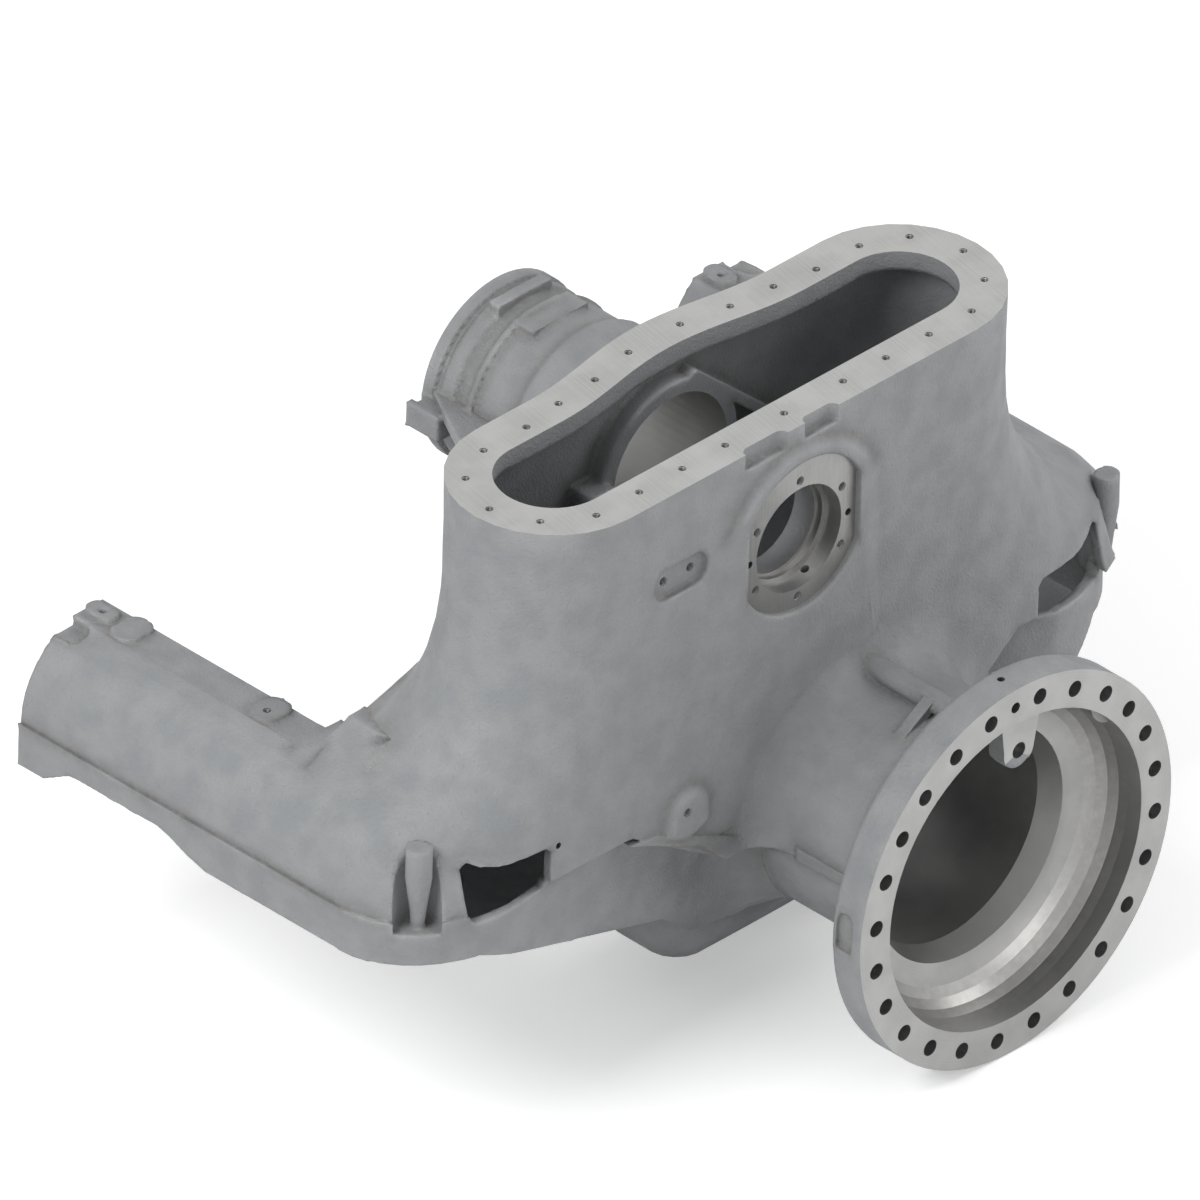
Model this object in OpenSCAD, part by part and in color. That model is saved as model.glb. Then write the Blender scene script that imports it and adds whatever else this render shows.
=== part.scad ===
// One-piece cast rear axle housing.
// Origin: centre of the ring flange's machined face. +X leaves that face, +Z is up.
// The house frame has its origin on the mid plane of the house, on the outside of
// its front wall, at the height of the two arm axes.

/* [Ring flange] */
// Circle that the ring's bolt holes lie on
ring_pcd = 397; // [390:1:405]
// Width of the ring outside the bolt circle
ring_rim = 21.5; // [20:0.5:26]
// Width of the ring inside the bolt circle
ring_land = 20.5; // [18:0.5:24]
// Thickness of the ring flange
ring_t = 40; // [34:1:46]
// Straight depth of the register bore
register_h = 18.5; // [14:0.5:22]
// Diameter of the ring's bolt holes
ring_hole_d = 18; // [14:0.5:20]
// Diameter of the locating hole at the top of the ring
ring_dowel_d = 12; // [8:0.5:14]
// Clocking of the ring's holes against the house
ring_clock = 1.6; // [0:0.1:4]

/* [Neck] */
// Outer diameter of the neck between ring and house
neck_d = 273; // [264:1:290]
// Wall of the neck
neck_wall = 14; // [10:0.5:18]
// Round where the neck meets the house
neck_round = 50; // [40:1:56]
// Inner seat behind the ring
seat_d = 263; // [255:1:275]
// Width of the seat's straight wall
seat_w = 26.5; // [20:0.5:32]
// Height of the parting belt along the neck
belt_h = 14; // [10:1:18]
// How far the belt stands proud
belt_proud = 3; // [2:0.5:5]

/* [Place of the house] */
// Distance from the ring's face back to the front wall
wall_x = 224; // [215:1:240]
// Offset of the house's mid plane from the ring's axis
mid_y = 90; // [80:1:100]
// Height of the arm axes above the ring's axis
arm_z = 82; // [76:1:90]

/* [House] */
// Wall thickness of the casting
wall = 12; // [10:0.5:14]
// Depth of the house from front wall to back wall
house_x = 218; // [210:1:230]
// Half width of the collar at its foot
collar_y = 357; // [350:1:366]
// Height of the collar's foot above the arm axes
collar_z = 277; // [270:1:286]
// Height of the top flange's face above the arm axes
top_z = 388; // [380:1:400]
// Sideways place of the arm axes
arm_y = 437; // [430:1:444]
// Radius of the rounded shoulder over the arms
shoulder_r = 95; // [90:1:100]
// Setback of the lower wall behind the upper one beside the neck
setback = 38; // [30:1:44]
// Depth of the lower wall at the corners
skirt_h = 53; // [48:1:60]

/* [Top flange] */
// Thickness of the top flange
flange_t = 24; // [20:1:28]
// Distance between the flange's two end centres
flange_span = 492; // [486:1:500]
// Radius of the opening's ends
mouth_r = 60; // [54:1:64]
// Back edge's swell at the mid plane
flange_swell = 20; // [12:1:24]
// Diameter of the tapped holes in the top flange
cover_hole_d = 8.5; // [6:0.5:10]
// Depth of the tapped holes in the top flange
cover_hole_h = 20; // [14:1:23]

/* [Input boss] */
// Height of the input axis above the arm axes
boss_z = 249; // [244:1:254]
// Input bore diameter
boss_bore_d = 120; // [112:1:126]
// Circle of the six tapped holes
boss_pcd = 139; // [137:1:143]
// Diameter of the six tapped holes
boss_hole_d = 10; // [8:0.5:12]
// Diameter of the machined spot face
spot_d = 178; // [172:1:184]
// Depth of the machined spot face below the column's face
spot_h = 8.5; // [5:0.5:10]
// Height of the column's face above the front wall
column_h = 6.5; // [5:0.5:9]
// Inside length of the boss tube from the front wall
boss_in = 62; // [54:1:70]

/* [Drum] */
// Outer diameter of the rear drum
drum_d = 208; // [200:1:214]
// Length of the drum behind the back wall
drum_l = 214; // [200:1:226]
// Bore of the drum
drum_bore_d = 160; // [150:1:168]

/* [Arms] */
// How far the arms reach behind the front wall
arm_l = 565; // [555:1:580]
// Width of the flat land along each arm
land_w = 47; // [40:1:54]
// Half width of an arm on its inner side
arm_in = 62; // [56:1:70]
// Radius of the arm's inner shoulder
arm_in_r = 121; // [112:1:130]

/* [Posts and windows] */
// Height of the post's top above the arm axes
post_top = 79; // [72:1:86]
// Diameter of the post
post_d = 27.6; // [24:0.2:30]
// Diameter at the post's foot
post_foot_d = 16; // [14:0.5:20]
// Height of the shelf that the post stands on
post_foot_z = -16; // [-20:1:-8]
// Distance of the post behind the front wall
post_x = 48; // [44:1:52]
// Distance of the post outside the arm's axis
post_out = 49; // [44:1:52]
// Distance of a window's near edge from the mid plane
window_y = 345; // [340:1:352]
// Width of a window
window_w = 105; // [96:1:112]
// Height of a window
window_h = 54; // [46:1:58]
// Height of a window's sill above the arm axes
sill_z = -12; // [-16:1:-8]

/* [Sump] */
// Depth of the sump below the ring's axis
sump_z = 183; // [176:1:190]
// Half width of the sump
sump_y = 210; // [196:1:220]
// Radius of the sump's lower edges
sump_r = 55; // [45:1:60]

/* [Hidden] */
$fn = 16;
drill_sides = 13;
// Overlap that fuses one cast form into the next
bite = 2;
iron = "#8d9094";

neck_r = neck_d / 2;
neck_bore_r = neck_r - neck_wall;
ring_hole_r = ring_pcd / 2;
ring_r = ring_hole_r + ring_rim;
ring_bore_r = ring_hole_r - ring_land;
// Radius of the hollow that leads from the register down to the seat
bowl = ring_bore_r - seat_d / 2;
cone_h = bowl + 5.5;
cone_out = 8.5;
// Lug inside the ring's top, with its drilled eye
lug_eye_r = ring_bore_r - 50;
lug_turn = 8.8;
lug_eye_d = 18;
lug_nose = 21;
// Turn of the two low swellings inside the ring, and how far they stand in
swellings = [49, -54];
swelling_r = 32;
swelling_in = 7;
gallery_z = neck_r + 8.5;
gallery_d = 24;
end_x = -house_x / 2;
back_x = -house_x;
flange_y = flange_span / 2;
front_y = 238;
front_sweep = 340;
rim_front_y = 400;
ledge_z = -4;
ledge_out = 3;
// The ring's axis seen from the house
axis_y = mid_y;
deep_y = neck_r + neck_round;
belly_z = 203;
belly_step = 156;
lower_top = ledge_z + bite / 2;
lower_y = arm_y + shoulder_r + ledge_out;
// The lower half is tucked in under the right-hand corner
tuck = 28;
// Depth of an arm below its axis along its raised stretch
arm_lift = 31;
drum_r = drum_d / 2;
drum_x = back_x - drum_l;
drum_bore_r = drum_bore_d / 2;
// Height of the pads' faces on an arm, and their places along it
pad_z = shoulder_r;
pad_r = 18;
far_pad_x = 60 - arm_l;
near_pad_x = back_x - 91;
// Two tapped holes in a spot beside the input boss
twin_z = 281;
twin_near = 149;
twin_far = 187;
twin_r = 19;
// Lug on the front wall, over the parting belt
lug_y = -154;
lug_z = -10;
lug_r = 33;
lug_h = 8;
// Scallops in the top flange's front edge
scallop_r = 9;
scallop_h = 20;
scallops = [[-72, -30], [12, 42]];

// Concave sweep between the collar's foot and the shoulder, tangent to both
sweep_in = arm_y - collar_y;
sweep_r = (pow(collar_z, 2) + pow(sweep_in, 2) - pow(shoulder_r, 2)) / (2 * (shoulder_r + sweep_in));
sweep_a = atan2(collar_z, sweep_r - sweep_in);

module house() translate([-wall_x, -mid_y, arm_z]) children();
module both_sides() { children(); mirror([0, 1, 0]) children(); }
// Turns an outline drawn in Y and Z into a solid along X
module along_x(x0, x1) translate([x0, 0, 0]) rotate([90, 0, 90]) linear_extrude(x1 - x0) children();
// Turns an outline drawn in X and Z into a solid along Y
module along_y(y0, y1) translate([0, y1, 0]) rotate([90, 0, 0]) linear_extrude(y1 - y0) children();
module along_z(z0, z1) translate([0, 0, z0]) linear_extrude(z1 - z0) children();
module rod(d, x0, x1, y = 0, z = 0, sides = 24) translate([x0, y, z]) rotate([0, 90, 0])
    cylinder(d = d, h = x1 - x0, $fn = sides);
// Turns a profile of radius and X into a solid round the X axis
module turned() rotate([0, 90, 0]) rotate_extrude($fn = 24) children();
module box(from, to) translate(from) cube(to - from);
// Flat outline with round ends between two points that share X or share Y
module slot(a, b, r) {
    for (p = [a, b])
        translate(p) circle(r = r);
    across = a[0] == b[0] ? [r, 0] : [0, r];
    translate(a - across) square(b - a + 2 * across);
}

function mix(a, b, t) = a + (b - a) * t;
function smooth(t) = let (u = max(0, min(1, t))) u * u * (3 - 2 * u);
function flipped(pts) = [for (i = [len(pts) - 1 : -1 : 0]) [pts[i][0], -pts[i][1]]];
function arc(c, r, a, b, n) = [for (i = [0 : n]) let (t = mix(a, b, i / n)) [c[0] + r * cos(t), c[1] + r * sin(t)]];

// Outer shoulder of arm and skirt, from its top down to the ledge
function shoulder(w, a, steps) = arc([arm_y, 0], shoulder_r - w, a, 0, steps);
// Side of the house seen from the front: collar, sweep, shoulder, ledge
function end_profile(w, steps) = let (c = sweep_r - sweep_in, r = sweep_r + w)
    concat([[collar_y - 2 - w, w == 0 ? top_z : top_z - flange_t]],
           [for (i = [0 : steps - 1]) let (a = sweep_a * i / steps) [arm_y + c - r * cos(a), collar_z - r * sin(a)]],
           shoulder(w, sweep_a, steps),
           [[arm_y + shoulder_r - w, ledge_z - bite]]);
function front_edge(w, z) = let (d = max(0, collar_z - z), u = max(0, z - collar_z) / (top_z - collar_z))
    min(rim_front_y, front_y + front_sweep - sqrt(pow(front_sweep, 2) - d * d) + (flange_y - front_y) * u) - w / 2;
function back_edge(w, p) = mix(front_edge(w, p[1]), p[0], smooth((163 - p[1]) / 60));
function section_y(w, p, t) = mix(t <= 90 ? front_edge(w, p[1]) : back_edge(w, p), p[0], sin(t));

// Upper skin of the house, lofted from front wall to back wall
module skin(w, turns, steps) {
    prof = end_profile(w, steps);
    n = len(prof);
    m = 2 * n;
    ts = [for (i = [0 : 2 * turns]) 90 * i / turns];
    pts = [for (t = ts) let (x = end_x + (house_x / 2 - w) * cos(t))
        each concat([for (p = prof) [x, -section_y(w, p, t), p[1]]],
                    [for (j = [n - 1 : -1 : 0]) [x, section_y(w, prof[j], t), prof[j][1]]])];
    last = m * (len(ts) - 1);
    polyhedron(pts, concat(
        [for (i = [0 : len(ts) - 2], k = [0 : m - 1]) let (a = i * m, b = a + m, l = (k + 1) % m)
            [b + k, a + k, a + l, b + l]],
        [for (j = [0 : n - 2]) [j, m - 1 - j, m - 2 - j, j + 1]],
        [for (j = [0 : n - 2]) [last + j + 1, last + m - 2 - j, last + m - 1 - j, last + j]]));
}

// The top flange's back edge swells towards the drum
function swell(y) = abs(y) < 170 ? flange_swell * (1 + cos(180 * y / 170)) / 2 : 0;
function swell_edge(x) = [for (y = [-170 : 17 : 170]) [x - swell(y), y]];
module flange_brow() along_z(top_z - flange_t, top_z)
    polygon(concat([[end_x, -170]], swell_edge(back_x), [[end_x, 170]]));
module mouth() along_z(top_z - flange_t - bite, top_z + bite) {
    slot([end_x, -flange_y], [end_x, flange_y], mouth_r);
    polygon(concat([[end_x, -170]], swell_edge(end_x - mouth_r), [[end_x, 170]]));
}

// Plan of the lower half, w inside its outer face
module lower_plan(w) {
    side = lower_y - w;
    hx = house_x / 2 - w;
    polygon(concat([[back_x + w, -side]],
        [for (a = [90 : -9 : 0]) [end_x + hx * cos(a), -mix(rim_front_y - w / 2, side, sin(a))]],
        [[-setback - w, axis_y - deep_y - w / 2], [-setback - w, axis_y + deep_y + w / 2]],
        [for (a = [0 : 9 : 90]) [end_x + hx * cos(a), mix(rim_front_y - tuck, side - tuck, sin(a)) - w / 2 * cos(a)]],
        [[back_x + 40, side - tuck / 3], [back_x + w, side]]));
}
// Underside of the lower half seen from the front
module lower_front(w) {
    z0 = -skirt_h + w;
    side = lower_y + bite;
    polygon([[-side, lower_top - w / 4], [-side, z0], [-rim_front_y - 40, z0], [-belly_step + 4, -belly_step + w],
        [axis_y - deep_y - 7, -belly_z + 7 + w], [axis_y - neck_r, -belly_z + w], [axis_y + neck_r, -belly_z + w],
        [axis_y + deep_y + 7, -belly_z + 7 + w], [axis_y + deep_y + 56, -belly_step + w],
        [rim_front_y + 40, z0], [side - tuck, z0], [side, lower_top - w / 4]]);
}
module lower_half(w) intersection() {
    along_z(-300, lower_top + bite) lower_plan(w);
    along_x(back_x - bite, bite) lower_front(w);
}
// Stretch of the upper wall that reaches down to the parting belt round the neck
module apron(w) along_x(-setback - (w == 0 ? bite : 40), -w) polygon([[-235 + 2 * w, 20], [-235 + 2 * w, ledge_z],
    [-100 + w, -89 + w], [280 - w, -89 + w], [275 - w, -38], [318 - 2 * w, ledge_z], [318 - 2 * w, 20]]);
module belt() along_x(-setback - bite, belt_proud) polygon([[-235, -13], [-197, -17], [-123, -51], [-85, -69],
    [-46, -75], [-46, -89], [-97, -92], [-133, -58], [-216, -21]]);

// Section of an arm above its ledge: outer shoulder, flat land, inner shoulder
module arm_section(w) {
    r = arm_in_r - w;
    zl = sqrt(pow(shoulder_r, 2) - pow(land_w / 2, 2)) - w;
    polygon(concat([[arm_y + shoulder_r - w, ledge_z - bite]],
        flipped([for (p = shoulder(w, sweep_a, w == 0 ? 7 : 5)) [p[0], -p[1]]]),
        [[arm_y + land_w / 2 - w / 4, zl]],
        arc([arm_y - arm_in + arm_in_r, 0], r, 180 - asin(zl / r), 180, 8),
        [[arm_y - arm_in + w, ledge_z - bite]]));
}
// Side of an arm below its ledge, with the raised stretch of its lower edge
module arm_side(w) polygon([[-arm_l + w, lower_top - w / 4], [-arm_l + w, -skirt_h + w],
    [-arm_l + 37, -skirt_h + w], [-arm_l + 75, -arm_lift + w], [back_x - 150, -arm_lift + w],
    [back_x - 132, -arm_lift - 5 + w], [back_x - 107, -skirt_h + 7 + w], [back_x - 82, -skirt_h + w],
    [back_x + 30, -skirt_h + w], [back_x + 30, lower_top - w / 4]]);
module arm(w) {
    along_x(-arm_l + w, back_x + bite + 2 * w) arm_section(w);
    along_y(arm_y - arm_in + w, lower_y - w) arm_side(w);
}
// Hollow round between an arm's land and the back wall
module arm_round() intersection() {
    along_y(arm_y - arm_in + 20, arm_y + 60) polygon(concat([[back_x + 60, 60], [back_x - 32, 60]],
        arc([back_x - 32, 124], 32, -90, 0, 5), [[back_x + 60, 124]]));
    along_x(back_x - 40, back_x + 70) polygon([[377, 50], [490, 50], [482, 80], [415, 126], [377, 126]]);
}
module arm_pads() {
    along_z(pad_z - 9, pad_z) for (x = [far_pad_x, near_pad_x])
        slot([x, -arm_y - 4], [x, -arm_y + 6], pad_r);
    along_z(pad_z - 9, pad_z + 3)
        slot([12 - arm_l, -arm_y], [26 - arm_l, -arm_y], 12);
}
// Tapped holes of the near pad and the end lug, and the notch in the arm's end
module arm_cuts() {
    translate([near_pad_x, -arm_y - 4, pad_z - wall]) cylinder(d = 8.5, h = wall + bite, $fn = drill_sides);
    translate([20 - arm_l, -arm_y, pad_z - wall]) cylinder(d = 6.5, h = wall + 5, $fn = drill_sides);
    along_z(pad_z - 14, pad_z + 5) slot([-arm_l - 14, -arm_y - 36], [18 - arm_l, -arm_y - 36], 13);
}

// Neck with its round into a wall at x
module neck_form(x) turned() polygon(concat([[0, x - 4 * bite], [deep_y, x - 4 * bite]],
    [for (a = [0 : 15 : 90]) [deep_y - neck_round * sin(a), x + neck_round * (1 - cos(a))]],
    [[neck_r, -ring_t + bite], [0, -ring_t + bite]]));
module neck() {
    intersection() {
        neck_form(-wall_x);
        box([-wall_x - 20, -deep_y - 5, -belt_h / 2], [0, deep_y + 5, deep_y + 5]);
    }
    intersection() {
        neck_form(-wall_x - setback);
        along_y(-deep_y - 5, deep_y + 5) polygon([[-wall_x - setback - 20, 0], [-wall_x - setback - 20, -121],
            [-wall_x - setback, -121], [-wall_x, -99], [-wall_x, 0]]);
    }
    rod(neck_d, -wall_x - setback - 8, -ring_t - 20);
    intersection() {
        turned() polygon([[0, -wall_x + neck_round], [neck_r + belt_proud, -wall_x + neck_round],
            [neck_r + belt_proud, -ring_t], [0, -ring_t]]);
        box([-wall_x, -deep_y, -belt_h / 2], [0, deep_y, belt_h / 2]);
    }
}
module ring() {
    rod(2 * ring_r, -ring_t, 0);
    turned() polygon([[0, -ring_t - cone_h], [neck_r, -ring_t - cone_h], [ring_bore_r + cone_out, -ring_t],
        [0, -ring_t]]);
}
// Bar and stub cast on the outside of the neck
module neck_ribs() {
    along_x(-125, -111) polygon([for (p = [[-30, -1.5], [-3, 17.5], [-1, 9.5], [-30, -13]])
        (neck_r + p[1]) * [sin(p[0]), cos(p[0])]]);
    box([-66, -neck_r - 14, -25], [-50, -neck_r + 4, 5]);
}

module sump(w) translate([-wall_x, 0, 0]) hull() for (x = [-setback - 6 - sump_r, back_x + 20 + sump_r], y = [-1, 1])
    translate([x, y * (sump_y - sump_r), -sump_z + sump_r]) {
        sphere(r = sump_r - w, $fn = 16);
        cylinder(r = sump_r - w, h = sump_z - sump_r - 60, $fn = 16);
    }

// Column and arch that carry the input boss
module column_top(x, half, r) along_x(x - 1, x) polygon(concat([[half, 228]],
    arc([0, boss_z], r, acos(half / r), 180 - acos(half / r), 10), [[-half, 228]]));
module column() hull() {
    column_top(-1, 110, 119);
    column_top(column_h, 84, 106);
    box([-2, -127, -58], [-1, 127, -57]);
    box([0, -101, -58], [1, 101, -57]);
}
module boss_tube() rod(boss_bore_d + 48, -boss_in, -3, 0, boss_z);
module boss_cuts() {
    intersection() {
        rod(spot_d, column_h - spot_h, column_h + bite, 0, boss_z + 7);
        box([column_h - spot_h, -79.5, boss_z - 90], [column_h + bite, 79.5, boss_z + 100]);
    }
    spot_x = column_h - spot_h;
    rod(boss_bore_d, spot_x - 22, column_h, 0, boss_z);
    rod(boss_bore_d - 10, spot_x - 30, 0, 0, boss_z);
    rod(boss_bore_d - 15, -boss_in - bite, 0, 0, boss_z);
    for (a = [30 : 60 : 330])
        rod(boss_hole_d, spot_x - 24, 0, boss_pcd / 2 * cos(a), boss_z + boss_pcd / 2 * sin(a), drill_sides);
    for (s = [-1, 1])
        rod(8, spot_x - 14, 0, s * boss_pcd / 2, boss_z, drill_sides);
    translate([-16, 24, boss_z - boss_bore_d / 2 - 28]) cylinder(d = 9, h = 40, $fn = drill_sides);
}

module lug_pad() hull() {
    rod(2 * lug_r, -1, 0, lug_y, lug_z);
    rod(2 * lug_r - 20, lug_h - 1, lug_h, lug_y, lug_z);
    box([-1, lug_y - lug_r, lug_z - 16], [0, lug_y + lug_r, lug_z - 2]);
    box([lug_h - 1, lug_y - lug_r + 10, lug_z - 16], [lug_h, lug_y + lug_r - 10, lug_z - 2]);
}
// Small drilled holes of the front wall: the lug's, and one beside the left window
module wall_drills() {
    rod(10, lug_h - 16, lug_h + bite, lug_y - 6, lug_z + 7, drill_sides);
    rod(7, -wall - 12, bite, 9 - window_y, 35, drill_sides);
}
module twin_cuts() {
    along_x(-8, bite) slot([-twin_far, twin_z], [-twin_near, twin_z], twin_r);
    for (y = [-twin_far, -twin_near])
        rod(10, -24, bite, y, twin_z, drill_sides);
}
module twin_back() along_x(-28, -3) slot([-twin_far, twin_z], [-twin_near, twin_z], twin_r + 5);

module at_post() translate([-post_x, -arm_y - post_out, 0]) children();
module post() at_post() {
    translate([0, 0, post_top - 37]) cylinder(d = post_d, h = 37);
    translate([0, 0, post_foot_z - 4]) cylinder(d1 = post_foot_d - 2, d2 = post_d, h = post_top - 33 - post_foot_z);
}
// Recess that lets the post stand clear, and the metal left round it inside
module post_recess(w) at_post() translate([7, -8, post_foot_z - w]) cylinder(r = 25 + w, h = post_top + 10);
module window() along_x(-70, 10) let (near = -window_y, far = -window_y - window_w, head = sill_z + window_h)
    polygon([[far, sill_z + 6], [far + 6, sill_z], [near - 6, sill_z], [near, sill_z + 6], [near, head - 12],
        [near - 6, head - 5], [far + 40, head - 4], [far + 20, head + 2], [far + 6, head + 10], [far, head + 4]]);

module drum() {
    translate([0, 0, boss_z]) turned() polygon([[0, drum_x], [drum_r, drum_x], [drum_r, drum_x + 14],
        [drum_r - 5, drum_x + 15], [drum_r - 5, drum_x + 20], [drum_r - 3, drum_x + 21],
        [drum_r - 3, drum_x + 38], [drum_r - 7, drum_x + 42], [drum_r - 7, drum_x + 57],
        [drum_r - 1, drum_x + 59], [drum_r - 1, drum_x + 66], [drum_r - 4, drum_x + 68],
        [drum_r - 4, drum_x + 120], [drum_r + 2, drum_x + 126], [drum_r + 6, back_x + 4], [0, back_x + 4]]);
    along_x(drum_x + 27, drum_x + 41) polygon([[-38, boss_z + 80], [38, boss_z + 80], [38, boss_z + 106], [-38, boss_z + 106]]);
    along_x(drum_x + 61, drum_x + 91) polygon([[-39, boss_z + 80], [39, boss_z + 80], [39, boss_z + 100], [-39, boss_z + 100]]);
}
module drum_bore() {
    rod(drum_bore_d, drum_x - bite, back_x + wall + 24, 0, boss_z);
    rod(drum_bore_d + 12, drum_x - bite, drum_x + 18, 0, boss_z);
}
module gusset() along_z(boss_z + 8, boss_z + 20) polygon([[drum_x + 2, -95], [back_x + 4, -215], [back_x + 4, -60],
    [drum_x + 2, -60]]);
module bracket() difference() {
    box([drum_x, -127, boss_z - 16], [drum_x + 46, -80, boss_z + 13]);
    along_x(drum_x - bite, drum_x + 8) slot([-111, boss_z + 20], [-111, boss_z], 7);
}

cover_holes = concat([for (y = [0, 83.4, 144, 205, 265.5]) [-27, y]],
    [[-57.7, 314.2], [-108.7, 335.3], [-163.5, 314.1], [-186.4, 265.7], [-186.4, 205], [-194, 152], [-199, 95.6],
     [-210.6, 36.5]]);
module cover_drills() for (p = cover_holes, s = p[1] == 0 ? [1] : [-1, 1])
    translate([p[0], s * p[1], top_z - cover_hole_h]) cylinder(d = cover_hole_d, h = cover_hole_h + bite, $fn = drill_sides);
module flange_scallops() along_z(top_z - scallop_h, top_z + bite) for (s = scallops)
    slot([0, s[0]], [0, s[1]], scallop_r);

// Lug and low swellings that stand into the ring behind its register
module ring_inside() {
    along_x(-ring_t, -register_h) rotate(-lug_turn) {
        polygon([[-lug_nose - 15, ring_bore_r + 3], [-lug_nose, lug_eye_r], [lug_nose, lug_eye_r],
            [lug_nose + 2, ring_bore_r + 3]]);
        translate([0, lug_eye_r]) circle(r = lug_nose);
    }
    for (a = swellings)
        intersection() {
            along_x(-ring_t, -register_h) rotate(-a) translate([0, ring_bore_r - swelling_in + swelling_r])
                circle(r = swelling_r);
            rod(2 * ring_bore_r + 8, -ring_t, 0);
        }
}
module ring_drills() {
    holes = concat([10, 25, 40, 53.75], [for (a = [67.5 : 15 : 172.5]) a]);
    for (a = holes, s = [-1, 1])
        rotate([ring_clock + s * a, 0, 0]) rod(ring_hole_d, -ring_t - 12, bite, 0, ring_hole_r, drill_sides);
    rotate([ring_clock, 0, 0]) rod(ring_dowel_d, -ring_t + 12, bite, 0, ring_hole_r, drill_sides);
    rotate([-lug_turn, 0, 0]) rod(lug_eye_d, -ring_t - 30, 0, 0, lug_eye_r, drill_sides);
    translate([-24, -3, ring_r - 12]) cylinder(d = 8, h = 14, $fn = drill_sides);
}
// Arched pocket in the left of the rim
module rim_pocket() along_y(-ring_r - bite, -ring_r + 6) {
    translate([-25, 24]) circle(r = 11);
    translate([-36, -9]) square([22, 33]);
}
module neck_bore() {
    seat_x = -register_h - bowl - seat_w;
    turned() polygon(concat([[0, -wall_x - setback - 26], [neck_bore_r, -wall_x - setback - 26],
        [neck_bore_r, seat_x]], arc([ring_bore_r - bowl, -register_h], bowl, -90, 0, 6),
        [[ring_bore_r, bite], [0, bite]]));
}
module gallery() {
    rod(gallery_d, -wall_x + 9, -60, 0, gallery_z);
    translate([-wall_x + 9, 0, gallery_z]) sphere(d = gallery_d, $fn = 16);
}
// Thick rim, sloping rib and stop round the drum's bore, on the inside of the back wall
module bore_rim() {
    x0 = back_x + bite;
    x1 = back_x + wall + 22;
    rod(2 * drum_bore_r + 32, x0, x1, 0, boss_z);
    along_x(x0, x1) polygon([[34, boss_z + 99], [190, boss_z - 40], [190, boss_z - 56], [24, boss_z + 92]]);
    box([x0, -drum_bore_r - 42, boss_z - 13], [x1 + 12, -drum_bore_r - 8, boss_z + 19]);
}

module outer() {
    house() {
        skin(0, 7, 7);
        flange_brow();
        lower_half(0);
        apron(0);
        both_sides() arm(0);
    }
    neck();
    sump(0);
}
module inner() {
    house() {
        skin(wall, 5, 5);
        lower_half(wall);
        apron(wall);
        both_sides() arm(wall);
    }
    sump(wall);
}

// The casting with its cavity, before the ring's inner lugs and the drilling
module shell() difference() {
    union() {
        difference() {
            union() {
                outer();
                house() {
                    column();
                    belt();
                    drum();
                    both_sides() arm_round();
                }
            }
            difference() {
                inner();
                house() both_sides() post_recess(wall);
            }
            house() {
                mouth();
                both_sides() post_recess(0);
            }
        }
        house() {
            boss_tube();
            twin_back();
            lug_pad();
            gusset();
            bracket();
            bore_rim();
            both_sides() {
                post();
                arm_pads();
            }
        }
        ring();
        gallery();
        neck_ribs();
    }
    neck_bore();
}
module housing() color(iron) difference() {
    union() {
        shell();
        ring_inside();
    }
    ring_drills();
    rim_pocket();
    house() {
        boss_cuts();
        wall_drills();
        twin_cuts();
        drum_bore();
        cover_drills();
        flange_scallops();
        both_sides() {
            window();
            arm_cuts();
        }
    }
}

housing();
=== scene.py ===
"""Looks of the cast rear axle housing: refined casting, machined faces, tapped threads, studio."""

import logging
import math
from dataclasses import dataclass, field
from enum import Enum

import bmesh
import bpy
import numpy as np
from mathutils import Matrix, Vector
from mathutils.kdtree import KDTree

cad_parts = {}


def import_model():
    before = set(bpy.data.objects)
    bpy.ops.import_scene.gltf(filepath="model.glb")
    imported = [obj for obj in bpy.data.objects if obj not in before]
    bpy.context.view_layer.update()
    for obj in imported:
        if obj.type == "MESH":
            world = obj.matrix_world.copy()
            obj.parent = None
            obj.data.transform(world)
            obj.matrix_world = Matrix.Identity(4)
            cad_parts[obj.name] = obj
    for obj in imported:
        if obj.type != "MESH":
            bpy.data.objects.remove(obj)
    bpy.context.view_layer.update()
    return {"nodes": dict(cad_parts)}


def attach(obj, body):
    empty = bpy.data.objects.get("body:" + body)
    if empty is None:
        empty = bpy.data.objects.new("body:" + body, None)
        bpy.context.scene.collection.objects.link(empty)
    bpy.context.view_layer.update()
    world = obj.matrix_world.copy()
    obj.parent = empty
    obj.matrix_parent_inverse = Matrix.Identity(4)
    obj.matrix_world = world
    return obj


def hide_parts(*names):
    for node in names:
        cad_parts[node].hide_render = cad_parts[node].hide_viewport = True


Colour = tuple[float, float, float, float]
Point = tuple[float, float, float]

LOG = logging.getLogger("housing")
MM = 0.001

# The house frame, in millimetres: its origin lies on the mid plane, on the front wall, at the
# arms' height.
HOUSE_ORIGIN = Vector((-224.0, -90.0, 82.0))
INPUT_Z = 249.0  # height in the house of the axis that the input boss and the drum share
INPUT_AXIS = (HOUSE_ORIGIN.y, HOUSE_ORIGIN.z + INPUT_Z)
COVER_Z = 388.0  # height in the house of the top flange's face
SMALL_TAP_R = 4.25  # drilled radius of the tapped holes in the top flange and the pads
LARGE_TAP_R = 5.0  # drilled radius of the tapped holes in the front wall

# Turns of a threaded hole's axis away from Z.
UPRIGHT: Point = (0.0, 0.0, 0.0)
LEVEL: Point = (0.0, math.pi / 2, 0.0)

# How closely a face's normal has to follow a direction, as a cosine.
FACING = 0.999
STEP = 0.99
INWARD = 0.5
HOLE_END = 0.9

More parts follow.
